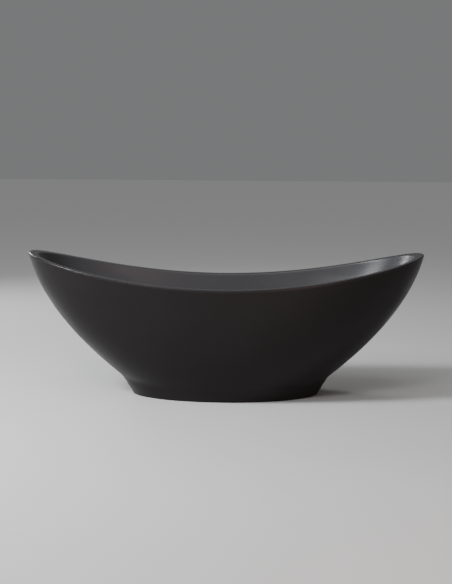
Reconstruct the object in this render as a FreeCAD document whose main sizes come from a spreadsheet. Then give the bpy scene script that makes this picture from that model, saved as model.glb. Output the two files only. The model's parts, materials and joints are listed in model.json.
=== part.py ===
"""Freestanding double-ended bathtub with swept-up ends on a flared plinth.

Two acrylic skins are bonded at the rim: an outer shell, whose foot stands on the floor, and an inner
bowl bonded to a plywood board. A steel frame with five levelling legs carries the board. A pop-up
waste sits in the middle of the floor, and an overflow in the near wall drains into it by a hose.
X runs along the tub, Y across it and Z up; the origin is on the floor under the waste.
"""
import FreeCAD, Part
import math
import os
import re

import Sketcher
from FreeCAD import Placement, Rotation, Vector

doc = FreeCAD.newDocument("bathtub")

# ---------------------------------------------------------------- driving dimensions, millimetres

SIZES = {
    # rim and hull
    "rim_half_long": 902, "rim_half_wide": 404, "rim_end_height": 650, "rim_mid_height": 514.5,
    "rim_width": 40, "rim_thick": 12, "rim_outer_round": 5, "rim_inner_round": 8,
    "seam_gap": 0.3, "skin": 8, "mould_top": 660, "mould_margin": 90,
    "hull_bottom": 30, "keel_height": 45, "join_height": 88,
    "bow_linear": 139, "bow_square": 283, "side_drop": 122.5, "side_power": 3.3,
    "full_top": 0.68, "full_foot": 0.56,
    # plinth foot
    "foot_half_long": 423, "foot_half_wide": 266, "foot_rise": 100, "foot_below": 5,
    "foot_flare_long": 0.625, "foot_flare_wide": 0.35, "ellipse_full": 0.5523,
    # bowl
    "bowl_floor": 135, "bowl_skin": 8, "bowl_side_skin": 9, "bowl_roll": 90, "bowl_belly": 35,
    # board and frame
    "board_half_long": 345, "board_half_wide": 158, "board_thick": 15, "board_hole": 50,
    "tube_side": 25, "tube_wall": 1.5, "rail_half_long": 320, "rail_y": 135,
    "end_rail_x": 225, "mid_rail_x": 110, "leg_x": 268,
    "screw_r": 2.5, "screw_head_r": 5, "screw_head": 3, "screw_bite": 11, "screw_x": 175,
    # legs
    "stud_r": 6, "stud_clear": 0.3, "thread_clear": 0.08, "stud_top": 113, "nut_corner": 11, "nut_height": 8,
    "pad_r": 22, "pad_height": 9, "pad_top_r": 13, "ball_r": 8, "ball_clear": 0.3,
    "collar_corner": 10.5, "collar_height": 10,
    # plinth ring and brackets
    "ring_half_long": 420.5, "ring_half_wide": 260.8, "ring_band": 26, "ring_low": 10, "ring_thick": 12,
    "bracket_wide": 25, "bracket_thick": 3, "bracket_tab": 22, "bracket_reach": 350, "bracket_start": 294,
    "bracket_screw_x": 304, "tab_screw_x": 340, "tab_screw": 12,
    # waste
    "seat_r": 36, "seat_depth": 5, "waste_hole_r": 26, "seal_thick": 1, "flange_r": 35,
    "throat_r": 20.5, "throat_bore": 18.5, "throat_drop": 40, "throat_grip": 26, "lower_seal": 4,
    "body_flange_r": 35, "body_flange": 5, "body_r": 27, "body_bore": 23, "body_base": 46,
    "outlet_r": 23.9, "outlet_bore": 20, "outlet_end": 26, "port_z": 68, "port_r": 9.9, "port_bore": 8,
    "port_end": 66, "port_root": 20, "hub_r": 8, "hub_hole": 3.1, "hub_thick": 4, "arm_wide": 4,
    "bolt_r": 3, "bolt_head_r": 5.5, "sleeve_r": 8, "sleeve_bore": 5.08, "sleeve_height": 22,
    "plunger_r": 5, "cap_r": 31.5, "cap_lift": 0.6, "cap_edge": 2, "cap_crown": 4,
    # overflow
    "over_z": 450, "over_tilt": 7, "over_hole_r": 24, "cover_r": 33, "cover_deep": 9, "cover_wall": 2,
    "over_seal": 3, "over_flange_r": 30, "elbow_r": 22, "elbow_wall": 2.5, "elbow_deep": 26,
    "spigot_r": 9.9, "spigot_bore": 8, "spigot_drop": 58, "hose_r": 13, "hose_bore": 10,
    "nut_r": 15.5, "hose_nut_long": 15, "hose_lap": 16, "clip_bore": 13.1,
}

sheet = doc.addObject("Spreadsheet::Sheet", "Sizes")
for row, (alias, number) in enumerate(SIZES.items(), start=1):
    sheet.set(f"A{row}", alias)
    sheet.set(f"B{row}", str(number))
    sheet.setAlias(f"B{row}", alias)
doc.recompute()


def size(alias):
    """The number in a cell of the sheet."""
    return float(sheet.get(alias))


def bound(formula):
    """A formula written with bare aliases, as an expression on the sheet."""
    return re.sub(r"[A-Za-z_]\w*", r"Sizes.\g<0>", str(formula))


def worth(formula):
    """What such a formula comes to."""
    return float(asked_of_sheet(bound(formula)))


def asked_of_sheet(expression):
    """FreeCAD's own evaluation of an expression."""
    found = sheet.evalExpression(expression)
    return getattr(found, "Value", found)


# ---------------------------------------------------------------- sketches

def corner_loop(sketch, corners):
    """A closed polygon in a sketch, each corner bound to two formulas."""
    first = sketch.GeometryCount
    points = [Vector(worth(x), worth(y), 0) for x, y in corners]
    count = len(points)
    for i in range(count):
        sketch.addGeometry(Part.LineSegment(points[i], points[(i + 1) % count]), False)
    for i in range(count):
        sketch.addConstraint(Sketcher.Constraint("Coincident", first + i, 2, first + (i + 1) % count, 1))
    for i, (x, y) in enumerate(corners):
        for kind, formula, number in (("DistanceX", x, points[i].x), ("DistanceY", y, points[i].y)):
            index = sketch.addConstraint(Sketcher.Constraint(kind, -1, 1, first + i, 1, number))
            sketch.setExpression(f"Constraints[{index}]", bound(formula))


def circle_at(sketch, x, y, radius):
    """A circle in a sketch, with its centre and radius bound."""
    centre = Vector(worth(x), worth(y), 0)
    ring = sketch.addGeometry(Part.Circle(centre, Vector(0, 0, 1), worth(radius)), False)
    for kind, formula, number in (("DistanceX", x, centre.x), ("DistanceY", y, centre.y)):
        index = sketch.addConstraint(Sketcher.Constraint(kind, -1, 1, ring, 3, number))
        sketch.setExpression(f"Constraints[{index}]", bound(formula))
    index = sketch.addConstraint(Sketcher.Constraint("Radius", ring, worth(radius)))
    sketch.setExpression(f"Constraints[{index}]", bound(radius))


def ellipse_at_centre(sketch, half_long, half_wide):
    """An ellipse about a sketch's origin, its long axis along the sketch's x."""
    a, b = worth(half_long), worth(half_wide)
    ring = sketch.addGeometry(Part.Ellipse(Vector(a, 0, 0), Vector(0, b, 0), Vector(0, 0, 0)), False)
    sketch.exposeInternalGeometry(ring)
    long_axis, wide_axis = ring + 1, ring + 2
    sketch.addConstraint(Sketcher.Constraint("Coincident", ring, 3, -1, 1))
    sketch.addConstraint(Sketcher.Constraint("PointOnObject", long_axis, 1, -1))
    for axis, formula in ((long_axis, half_long), (wide_axis, half_wide)):
        index = sketch.addConstraint(Sketcher.Constraint("Distance", axis, 2 * worth(formula)))
        sketch.setExpression(f"Constraints[{index}]", bound(f"2 * ({formula})"))


def sketch_in(body, role, offset="0"):
    """An empty sketch on one of a body's origin planes, moved along the plane's normal."""
    sketch = body.newObject("Sketcher::SketchObject", "Sketch")
    plane = [o for o in body.Origin.OriginFeatures if o.Role == role][0]
    sketch.AttachmentSupport = [(plane, "")]
    sketch.MapMode = "FlatFace"
    sketch.setExpression("AttachmentOffset.Base.z", bound(offset))
    return sketch


# ---------------------------------------------------------------- sub-parts of common kinds

SUBPARTS = []


def kept(thing, label):
    """Names an object as a sub-part, so that it is written out."""
    thing.Label = label
    SUBPARTS.append(thing)
    return thing


def new_body(label, place=("0", "0", "0")):
    """A body whose Placement is bound to three formulas."""
    body = kept(doc.addObject("PartDesign::Body", "Body"), label)
    for axis, formula in zip("xyz", place):
        body.setExpression(f"Placement.Base.{axis}", bound(formula))
    return body


def turned(label, corners, place=("0", "0", "0")):
    """A piece turned about Z: corners are its profile as (radius, height)."""
    body = new_body(label, place)
    sketch = sketch_in(body, "XZ_Plane")
    corner_loop(sketch, corners)
    turn = body.newObject("PartDesign::Revolution", "Turn")
    turn.Profile = sketch
    turn.ReferenceAxis = (sketch, ["V_Axis"])
    turn.Angle = 360
    return body


def padded_up(body, sketch, length, name="Pad"):
    """Pads a sketch by a bound length along its normal."""
    pad = body.newObject("PartDesign::Pad", name)
    pad.Profile = sketch
    pad.setExpression("Length", bound(length))
    return pad


def drilled(body, role, circles, offset="0"):
    """Round holes right through a body, on both sides of a sketch."""
    sketch = sketch_in(body, role, offset)
    for x, y, radius in circles:
        circle_at(sketch, x, y, radius)
    hole = body.newObject("PartDesign::Pocket", "Holes")
    hole.Profile = sketch
    hole.Type = "ThroughAll"
    hole.Midplane = True
    return hole


def hexagon(across_corners):
    """A hexagon's corners, as formulas on its corner radius."""
    return [(f"{across_corners} * {math.cos(i * math.pi / 3):.6f}",
             f"{across_corners} * {math.sin(i * math.pi / 3):.6f}") for i in range(6)]


# ---------------------------------------------------------------- the hull's sections

def hull_half_long(z):
    """Half length of the hull at a height: the end's profile is a parabola."""
    w = (size("rim_end_height") - z) / (size("rim_end_height") - size("join_height"))
    return size("rim_half_long") - size("bow_linear") * w - size("bow_square") * w * w


def hull_half_wide(z):
    """Half width of the hull at a height: upright at the rim, tucked under at the keel."""
    w = max(0.0, (size("rim_end_height") - z) / (size("rim_end_height") - size("keel_height")))
    return size("rim_half_wide") - size("side_drop") * w ** size("side_power")


def fullness(z):
    """How square a section is: nearly an ellipse at the foot, and fuller towards the rim."""
    share = (z - size("keel_height")) / (size("rim_mid_height") - size("keel_height"))
    return size("full_foot") + (size("full_top") - size("full_foot")) * min(1.0, max(0.0, share))


def roll_in(z, floor, radius):
    """How far a wall has turned in at a height, where it rounds into a floor."""
    above = (floor + radius - z) / radius
    return radius * (1 - math.sqrt(max(0.0, 1 - above * above))) if above > 0 else 0.0


def bowl_gap(z):
    """The distance from the hull in to the bowl's inner face at a height."""
    share = (size("rim_end_height") - z) / (size("rim_end_height") - size("bowl_floor"))
    return size("rim_width") + size("bowl_belly") * max(0.0, share)


def oval_section(name, z, half_long, half_wide, full):
    """A closed oval in a sketch at height z, of four mirrored cubic quarters."""
    sketch = doc.addObject("Sketcher::SketchObject", name)
    for sx, sy in ((1, 1), (-1, 1), (-1, -1), (1, -1)):
        poles = [Vector(half_long * sx, 0, 0), Vector(half_long * sx, full * half_wide * sy, 0),
                 Vector(full * half_long * sx, half_wide * sy, 0), Vector(0, half_wide * sy, 0)]
        if sx * sy < 0:
            poles.reverse()
        quarter = Part.BSplineCurve()
        quarter.buildFromPolesMultsKnots(poles, [4, 4], [0, 1], False, 3)
        sketch.addGeometry(quarter, False)
    sketch.Placement = Placement(Vector(0, 0, z), Rotation())
    return sketch


def lofted(name, levels, half_long, half_wide, full):
    """A solid through oval sections; the last three say each section's size at a height."""
    loft = doc.addObject("Part::Loft", name)
    loft.Sections = [oval_section(f"{name}_section", z, half_long(z), half_wide(z), full(z))
                     for z in levels]
    loft.Solid = True
    loft.Ruled = False
    return loft


def even_levels(low, high, count):
    """Heights evenly spaced from low to high."""
    return [low + (high - low) * i / (count - 1) for i in range(count)]


def crowded_levels(low, high, count):
    """Heights from low to high, closer together near the low end."""
    return [low + (high - low) * (i / (count - 1)) ** 2 for i in range(count)]


HULL_SECTIONS = 7
BOWL_SECTIONS = 9


def hull_form(name, inset):
    """The hull as a solid, drawn in by inset all round."""
    levels = even_levels(size("hull_bottom"), size("mould_top"), HULL_SECTIONS)
    return lofted(name, levels, lambda z: hull_half_long(z) - inset,
                  lambda z: hull_half_wide(z) - inset, fullness)


def foot_form(name, bottom, inset):
    """The plinth foot as a solid, drawn in by inset all round."""
    return lofted(name, [bottom, size("foot_rise")],
                  lambda z: size("foot_half_long") + size("foot_flare_long") * z - inset,
                  lambda z: size("foot_half_wide") + size("foot_flare_wide") * z - inset,
                  lambda z: size("ellipse_full"))


def bowl_form(name, floor, outset, radius):
    """The bowl as a solid down to a floor, grown by outset all round."""
    levels = crowded_levels(floor, size("mould_top"), BOWL_SECTIONS)
    def inward(z):
        return bowl_gap(z) - outset + roll_in(z, floor, radius)
    return lofted(name, levels, lambda z: hull_half_long(z) - inward(z),
                  lambda z: hull_half_wide(z) - inward(z), fullness)


def below_rim(name, drop):
    """Everything under the swept rim's surface, which is a parabola along the tub, lowered by drop."""
    reach = size("rim_half_long") + size("mould_margin")
    middle = size("rim_mid_height") - drop
    share = (reach / size("rim_half_long")) ** 2
    end = middle + (size("rim_end_height") - size("rim_mid_height")) * share
    sketch = doc.addObject("Sketcher::SketchObject", f"{name}_profile")
    sweep = Part.BSplineCurve()
    poles = [Vector(-reach, end, 0), Vector(0, 2 * middle - end, 0), Vector(reach, end, 0)]
    sweep.buildFromPolesMultsKnots(poles, [3, 3], [0, 1], False, 2)
    low = -size("mould_margin")
    sketch.addGeometry(sweep, False)
    for start, stop in (((reach, end), (reach, low)), ((reach, low), (-reach, low)),
                        ((-reach, low), (-reach, end))):
        sketch.addGeometry(Part.LineSegment(Vector(*start, 0), Vector(*stop, 0)), False)
    sketch.Placement = Placement(Vector(0, 0, 0), Rotation(Vector(1, 0, 0), 90))
    block = doc.addObject("Part::Extrusion", name)
    block.Base = sketch
    block.DirMode = "Custom"
    block.Dir = Vector(0, 1, 0)
    block.setExpression("LengthFwd", bound("2 * (rim_half_wide + mould_margin)"))
    block.Symmetric = True
    block.Solid = True
    return block


def pair(kind, name, first, second):
    """A boolean of two objects: Part::Cut, with Base and Tool, Part::Fuse or Part::Common."""
    made = doc.addObject(kind, name)
    made.Base, made.Tool = first, second
    return made


def rim_surface(x):
    """The height of the rim's swept top at a distance along the tub."""
    rise = size("rim_end_height") - size("rim_mid_height")
    return size("rim_mid_height") + rise * (x / size("rim_half_long")) ** 2


def rounded_rim(name, base, radius, outer):
    """Rounds the edges on the rim's top surface: those at the hull, or those at the bowl."""
    doc.recompute()
    chosen = []
    for number, edge in enumerate(base.Shape.Edges, start=1):
        low, high = edge.FirstParameter, edge.LastParameter
        spots = [edge.valueAt(low + share * (high - low)) for share in (0.02, 0.5, 0.98)]
        on_top = all(abs(spot.z - rim_surface(spot.x)) < 0.2 for spot in spots)
        reach = max(abs(spot.x) for spot in spots)
        if on_top and (reach > size("rim_half_long") - size("rim_width") / 2) == outer:
            chosen.append((number, radius, radius))
    fillet = doc.addObject("Part::Fillet", name)
    fillet.Base = base
    fillet.Edges = chosen
    return fillet


def rod(name, radius, height, place, turn=Rotation()):
    """A cylinder bound to the sheet, standing at a point given by three formulas."""
    cylinder = doc.addObject("Part::Cylinder", name)
    cylinder.Placement = Placement(Vector(), turn)
    cylinder.setExpression("Radius", bound(radius))
    cylinder.setExpression("Height", bound(height))
    for axis, formula in zip("xyz", place):
        cylinder.setExpression(f"Placement.Base.{axis}", bound(formula))
    return cylinder


# ---------------------------------------------------------------- shells

ALONG_Y = Rotation(Vector(1, 0, 0), -90)
ALONG_MINUS_Y = Rotation(Vector(1, 0, 0), 90)


def overflow_frame():
    """The overflow's seat on the near wall: a point on its inner face, and a turn whose Z looks in."""
    z = size("over_z")
    y = hull_half_wide(z) - bowl_gap(z)
    turn = Rotation(Vector(1, 0, 0), -90 + size("over_tilt"))
    return Vector(0, -y, z), turn


def outer_shell():
    """The outer skin: hull and foot in one, hollow and open below, up to the seam under the rim."""
    form = pair("Part::Fuse", "outer_form", hull_form("hull", 0), foot_form("foot", 0, 0))
    void = pair("Part::Fuse", "outer_void", hull_form("hull_void", size("skin")),
                foot_form("foot_void", -size("foot_below"), size("skin")))
    skin = pair("Part::Cut", "outer_skin", form, void)
    seam = below_rim("below_seam", size("rim_thick") + size("seam_gap"))
    kept(pair("Part::Common", "outer", skin, seam), "outer_shell")


def inner_shell():
    """The bowl with its rim flange, drilled for the waste and the overflow."""
    top, under = below_rim("below_rim", 0), below_rim("below_flange", size("rim_thick"))
    slab = pair("Part::Cut", "rim_slab", pair("Part::Common", "rim_hull", hull_form("rim_form", 0), top),
                under)
    floor, radius = size("bowl_floor"), size("bowl_roll")
    solid = bowl_form("bowl_outside", floor - size("bowl_skin"), size("bowl_side_skin"),
                      radius + size("bowl_skin"))
    trim = pair("Part::Common", "bowl_trim", solid, below_rim("below_rim_bowl", size("rim_thick") / 2))
    cut = pair("Part::Cut", "bowl_cut", pair("Part::Fuse", "bowl_block", trim, slab),
               bowl_form("bowl_inside", floor, 0, radius))
    outside_round = rounded_rim("rim_outside", cut, size("rim_outer_round"), True)
    open_bowl = rounded_rim("rim_inside", outside_round, size("rim_inner_round"), False)
    seat = pair("Part::Cut", "bowl_seat", open_bowl,
                rod("seat_cut", "seat_r", "2 * seat_depth", ("0", "0", "bowl_floor - seat_depth")))
    holed = pair("Part::Cut", "bowl_holed", seat,
                 rod("waste_cut", "waste_hole_r", "4 * bowl_skin", ("0", "0", "bowl_floor - 2 * bowl_skin")))
    point, turn = overflow_frame()
    cut = doc.addObject("Part::Cylinder", "overflow_cut")
    cut.setExpression("Radius", bound("over_hole_r"))
    cut.setExpression("Height", bound("6 * bowl_skin"))
    cut.Placement = Placement(point + turn.multVec(Vector(0, 0, -3 * size("bowl_skin"))), turn)
    kept(pair("Part::Cut", "inner", holed, cut), "inner_shell")


# ---------------------------------------------------------------- board, frame and legs

LEGS = {
    "leg_1": ("-leg_x", "-rail_y"), "leg_2": ("leg_x", "-rail_y"), "leg_3": ("leg_x", "rail_y"),
    "leg_4": ("-leg_x", "rail_y"), "leg_5": ("mid_rail_x", "0"),
}
BOARD_LOW = "bowl_floor - bowl_skin - board_thick"
RAIL_LOW = f"{BOARD_LOW} - tube_side"
SCREW_SPOTS = [(x, y) for x in ("-screw_x", "0", "screw_x") for y in ("-rail_y", "rail_y")]


def base_board():
    """The plywood board bonded under the bowl, with a hole for the waste and pilot holes."""
    body = new_body("base_board", ("0", "0", BOARD_LOW))
    sketch = sketch_in(body, "XY_Plane")
    cut = "board_half_wide / 2"
    corners = []
    for sx, sy in ((1, 1), (-1, 1), (-1, -1), (1, -1)):
        near = (f"{sx} * board_half_long", f"{sy} * (board_half_wide - {cut})")
        far = (f"{sx} * (board_half_long - {cut})", f"{sy} * board_half_wide")
        corners += [near, far] if sx * sy > 0 else [far, near]
    corner_loop(sketch, corners)
    padded_up(body, sketch, "board_thick")
    holes = [("0", "0", "board_hole")] + [(x, y, "screw_r + stud_clear / 6") for x, y in SCREW_SPOTS]
    drilled(body, "XY_Plane", holes + [(x, y, "stud_r + 1") for x, y in LEGS.values()])


def tube(label, place, half_long, role, holes):
    """A square steel tube centred on its own middle, drilled through from top to bottom."""
    body = new_body(label, place)
    sketch = sketch_in(body, role, f"-({half_long})")
    for reach in ("tube_side / 2", "tube_side / 2 - tube_wall"):
        corner_loop(sketch, [(f"-({reach})", f"-({reach})"), (reach, f"-({reach})"),
                             (reach, reach), (f"-({reach})", reach)])
    padded_up(body, sketch, f"2 * ({half_long})")
    drilled(body, "XY_Plane", holes)
    return body


def drilled_below(body, circles, offset):
    """Round holes downwards only, from a level in a body."""
    hole = drilled(body, "XY_Plane", circles, offset)
    hole.Midplane = False


def frame():
    """Two side rails and three cross rails under the board."""
    height = f"{RAIL_LOW} + tube_side / 2"
    holes = [("-leg_x", "0", "stud_r + stud_clear"), ("leg_x", "0", "stud_r + stud_clear")]
    holes += [(x, "0", "screw_r + stud_clear") for x in ("-screw_x", "0", "screw_x")]
    taps = [(x, "0", "screw_r + stud_clear / 6") for x in ("-bracket_screw_x", "bracket_screw_x")]
    for label, y in (("front", "-rail_y"), ("rear", "rail_y")):
        rail = tube(f"frame_side_rail_{label}", ("0", y, height), "rail_half_long", "YZ_Plane", holes)
        drilled_below(rail, taps, "2 * tube_wall - tube_side / 2")
    inner = "rail_y - tube_side / 2"
    for label, x in (("left", "-end_rail_x"), ("right", "end_rail_x"), ("middle", "mid_rail_x")):
        drill = [("0", "0", "stud_r + stud_clear")]
        tube(f"frame_cross_rail_{label}", (x, "0", height), inner, "XZ_Plane", drill)


def screw_up(x, y, face, grip):
    """A screw driven up through a face from below, its head under the face."""
    head = rod("screw_head", "screw_head_r", "screw_head", (x, y, f"{face} - screw_head"))
    return pair("Part::Fuse", "screw", head, rod("screw_shank", "screw_r", grip, (x, y, face)))


def screw_down(x, y, face, grip):
    """A screw driven down through a face from above, its head on the face."""
    head = rod("screw_head", "screw_head_r", "screw_head", (x, y, face))
    return pair("Part::Fuse", "screw", head, rod("screw_shank", "screw_r", grip, (x, y, f"{face} - ({grip})")))


def grouped(label, solids):
    """Identical fasteners as one sub-part of separate solids."""
    group = doc.addObject("Part::Compound", "group")
    group.Links = solids
    kept(group, label)


def screws():
    """The screws between side rails and board, and those of the four skirt brackets."""
    grouped("frame_screws", [screw_up(x, y, RAIL_LOW, "tube_side + screw_bite") for x, y in SCREW_SPOTS])
    corners = [(sx, sy) for sx in (-1, 1) for sy in (-1, 1)]
    grouped("bracket_upper_screws", [
        screw_up(f"{sx} * bracket_screw_x", f"{sy} * rail_y", f"{RAIL_LOW} - bracket_thick",
                 "bracket_thick + 6 * tube_wall") for sx, sy in corners])
    grouped("bracket_lower_screws", [
        screw_down(f"{sx} * tab_screw_x", f"{sy} * rail_y", "ring_low + ring_thick + bracket_thick",
                   "tab_screw") for sx, sy in corners])


def hex_nut(label, place, height):
    """A hexagon nut standing on a point, with running clearance on the stud."""
    body = new_body(label, place)
    sketch = sketch_in(body, "XY_Plane")
    corner_loop(sketch, hexagon("nut_corner"))
    circle_at(sketch, "0", "0", "stud_r + thread_clear")
    padded_up(body, sketch, height)


def leg(name, x, y):
    """One levelling leg: weld nut and lock nut on the rail, a threaded stud and a swivel pad."""
    hex_nut(f"{name}_weld_nut", (x, y, f"{RAIL_LOW} - nut_height"), "nut_height")
    hex_nut(f"{name}_lock_nut", (x, y, f"{RAIL_LOW} - 1.65 * nut_height"), "nut_height * 0.6")
    ball = "pad_height - 1"
    stud = turned(f"{name}_stud", [
        ("0", f"{ball} - ball_r * 0.55"), ("ball_r * 0.8", f"{ball} - ball_r * 0.55"),
        ("ball_r", f"{ball}"), ("ball_r * 0.8", f"{ball} + ball_r * 0.55"), ("stud_r", "pad_height + 5"),
        ("stud_r", "stud_top - 1.5"), ("stud_r - 1.5", "stud_top"), ("0", "stud_top")], (x, y, "0"))
    sketch = sketch_in(stud, "XY_Plane", "pad_height + 7")
    corner_loop(sketch, hexagon("collar_corner"))
    padded_up(stud, sketch, "collar_height", "Collar")
    hollow = "ball_r + ball_clear"
    turned(f"{name}_pad", [
        ("0", "0"), ("pad_r - 1", "0"), ("pad_r", "1"), ("pad_r", "3"), ("pad_top_r", "pad_height - 1"),
        ("pad_top_r - 1", "pad_height + 2"), ("ball_r * 0.85 + ball_clear", "pad_height + 2"),
        (hollow, f"{ball} + ball_clear"), (hollow, f"{ball} - ball_clear"),
        (f"ball_r * 0.8 + ball_clear", f"{ball} - ball_r * 0.55 - ball_clear"),
        ("0", f"{ball} - ball_r * 0.55 - ball_clear")], (x, y, "0"))


def plinth_ring():
    """The plywood ring bonded inside the foot."""
    body = new_body("plinth_ring", ("0", "0", "ring_low"))
    sketch = sketch_in(body, "XY_Plane")
    ellipse_at_centre(sketch, "ring_half_long", "ring_half_wide")
    ellipse_at_centre(sketch, "ring_half_long - ring_band", "ring_half_wide - ring_band")
    padded_up(body, sketch, "ring_thick")
    drilled(body, "XY_Plane", [(f"{sx} * tab_screw_x", f"{sy} * rail_y", "screw_r + stud_clear / 6")
                               for sx in (-1, 1) for sy in (-1, 1)])


def skirt_brackets():
    """Four steel straps bent from the side rails' ends down to the plinth ring."""
    top, low = RAIL_LOW, "ring_low + ring_thick"
    places = {"front_left": (-1, -1), "front_right": (1, -1), "rear_right": (1, 1), "rear_left": (-1, 1)}
    for label, (sx, sy) in places.items():
        body = new_body(f"skirt_bracket_{label}", ("0", f"{sy} * rail_y", "0"))
        sketch = sketch_in(body, "XZ_Plane", "-bracket_wide / 2")
        bend, foot = "rail_half_long", "bracket_reach - bracket_tab"
        outline = [
            ("bracket_start", top), ("bracket_start", f"{top} - bracket_thick"),
            (f"{bend} - bracket_thick", f"{top} - bracket_thick"), (foot, low), ("bracket_reach", low),
            ("bracket_reach", f"{low} + bracket_thick"), (f"{foot} + bracket_thick", f"{low} + bracket_thick"),
            (bend, top)]
        corner_loop(sketch, [(f"{sx} * ({x})", z) for x, z in outline])
        padded_up(body, sketch, "bracket_wide")
        drilled(body, "XY_Plane", [(f"{sx} * {x}", "0", "screw_r + stud_clear")
                                   for x in ("bracket_screw_x", "tab_screw_x")])


# ---------------------------------------------------------------- waste

SEAT = "bowl_floor - seat_depth"
FLANGE_LOW = f"{SEAT} + seal_thick"
THROAT_LOW = f"{FLANGE_LOW} - throat_drop"
BODY_TOP = "bowl_floor - bowl_skin - lower_seal"
CAP_LOW = "bowl_floor + cap_lift"
HUB_TOP = f"{THROAT_LOW} + 3 * hub_thick"


def ring(label, inner, outer, low, high, place=("0", "0", "0")):
    """A plain ring between two radii and two heights."""
    return turned(label, [(inner, low), (outer, low), (outer, high), (inner, high)], place)


def waste_flange():
    """The dished flange and threaded throat, with the spider that carries the plug's cartridge."""
    body = turned("waste_flange", [
        ("flange_r", FLANGE_LOW), ("flange_r", "bowl_floor - 0.8"), ("flange_r - 1", "bowl_floor"),
        ("flange_r - 9", "bowl_floor - 1.5"), ("throat_bore", "bowl_floor - 8"), ("throat_bore", THROAT_LOW),
        ("throat_r", THROAT_LOW), ("throat_r", f"{FLANGE_LOW} - 4.5"), ("flange_r - 9.5", FLANGE_LOW)])
    sketch = sketch_in(body, "XY_Plane", f"{HUB_TOP} - hub_thick")
    arm, reach = "arm_wide / 2", "throat_bore + 1"
    corner_loop(sketch, [(f"-({reach})", f"-({arm})"), (reach, f"-({arm})"), (reach, arm), (f"-({reach})", arm)])
    padded_up(body, sketch, "hub_thick", "Arms")
    cross = sketch_in(body, "XY_Plane", f"{HUB_TOP} - hub_thick")
    corner_loop(cross, [(f"-({arm})", f"-({reach})"), (arm, f"-({reach})"), (arm, reach), (f"-({arm})", reach)])
    padded_up(body, cross, "hub_thick", "CrossArms")
    hub = sketch_in(body, "XY_Plane", f"{HUB_TOP} - hub_thick")
    circle_at(hub, "0", "0", "hub_r")
    padded_up(body, hub, "hub_thick", "Hub")
    hole = sketch_in(body, "XY_Plane", f"{HUB_TOP} - hub_thick")
    circle_at(hole, "0", "0", "hub_hole")
    doc.recompute()
    bore = body.newObject("PartDesign::Pocket", "HubHole")
    bore.Profile = hole
    bore.setExpression("Length", bound("4 * hub_thick"))
    bore.Midplane = True


def waste_plug():
    """The pop-up plug: crowned cap, rubber seal and plunger, over its cartridge and bolt."""
    turned("plug_cap", [
        ("0", CAP_LOW), ("cap_r - 2", CAP_LOW), ("cap_r", f"{CAP_LOW} + 0.8"),
        ("cap_r - 0.6", f"{CAP_LOW} + cap_edge"), ("cap_r * 0.8", f"{CAP_LOW} + cap_edge + cap_crown * 0.45"),
        ("cap_r * 0.5", f"{CAP_LOW} + cap_edge + cap_crown * 0.8"), ("0", f"{CAP_LOW} + cap_edge + cap_crown")])
    ring("plug_seal", "plunger_r + 0.2", "cap_r - 6", f"{CAP_LOW} - 1.6", CAP_LOW)
    turned("plug_plunger", [
        ("0", f"{HUB_TOP} + 5"), ("plunger_r", f"{HUB_TOP} + 5"), ("plunger_r", CAP_LOW), ("0", CAP_LOW)])
    turned("plug_cartridge", [
        ("sleeve_bore", f"{HUB_TOP} + 4"), ("sleeve_bore", f"{HUB_TOP} + sleeve_height"),
        ("sleeve_r - 1", f"{HUB_TOP} + sleeve_height"), ("sleeve_r", f"{HUB_TOP} + sleeve_height - 1"),
        ("sleeve_r", HUB_TOP), ("hub_hole", HUB_TOP), ("hub_hole", f"{HUB_TOP} + 4")])
    turned("plug_bolt", [
        ("0", f"{HUB_TOP} - hub_thick - 3"), ("bolt_head_r", f"{HUB_TOP} - hub_thick - 3"),
        ("bolt_head_r", f"{HUB_TOP} - hub_thick"), ("bolt_r", f"{HUB_TOP} - hub_thick"),
        ("bolt_r", f"{HUB_TOP} + 4"), ("0", f"{HUB_TOP} + 4")])


def waste_body():
    """The body under the bowl: flange, chamber, outlet and the overflow's side port."""
    outside = pair("Part::Fuse", "waste_outside",
                   rod("waste_top", "body_flange_r", "body_flange", ("0", "0", f"{BODY_TOP} - body_flange")),
                   rod("waste_chamber", "body_r", f"{BODY_TOP} - body_base", ("0", "0", "body_base")))
    outlet = rod("waste_outlet", "outlet_r", "body_base - outlet_end", ("0", "0", "outlet_end"))
    port = rod("waste_port", "port_r", "port_end - port_root", ("0", "-port_root", "port_z"), ALONG_MINUS_Y)
    full = pair("Part::Fuse", "waste_full", pair("Part::Fuse", "waste_tailed", outside, outlet), port)
    chamber = rod("waste_bore", "body_bore", f"{BODY_TOP} - throat_grip - body_base - 3",
                  ("0", "0", "body_base + 3"))
    thread = rod("waste_thread", "throat_r + thread_clear", "body_base", ("0", "0", f"{BODY_TOP} - body_base / 2 - 10"))
    tail = rod("outlet_cut", "outlet_bore", "2 * body_base", ("0", "0", "0"))
    side = rod("port_cut", "port_bore", "port_end", ("0", "-0.5", "port_z"), ALONG_MINUS_Y)
    round_void = pair("Part::Fuse", "waste_round", pair("Part::Fuse", "waste_threaded", chamber, thread), tail)
    hollow = pair("Part::Fuse", "waste_void", round_void, side)
    kept(pair("Part::Cut", "waste", full, hollow), "waste_body")


def waste():
    """Everything in the waste's stack."""
    ring("waste_upper_seal", "waste_hole_r + 0.5", "flange_r - 0.5", SEAT, FLANGE_LOW)
    ring("waste_lower_seal", "throat_r + 1", "body_flange_r", BODY_TOP, f"{BODY_TOP} + lower_seal")
    waste_flange()
    waste_plug()
    waste_body()


# ---------------------------------------------------------------- overflow

def placed(body, point, turn):
    """Moves a piece that was made about its own Z axis to its seat."""
    for axis in "xyz":
        body.setExpression(f"Placement.Base.{axis}", None)
    body.Placement = Placement(point, turn)


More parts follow.
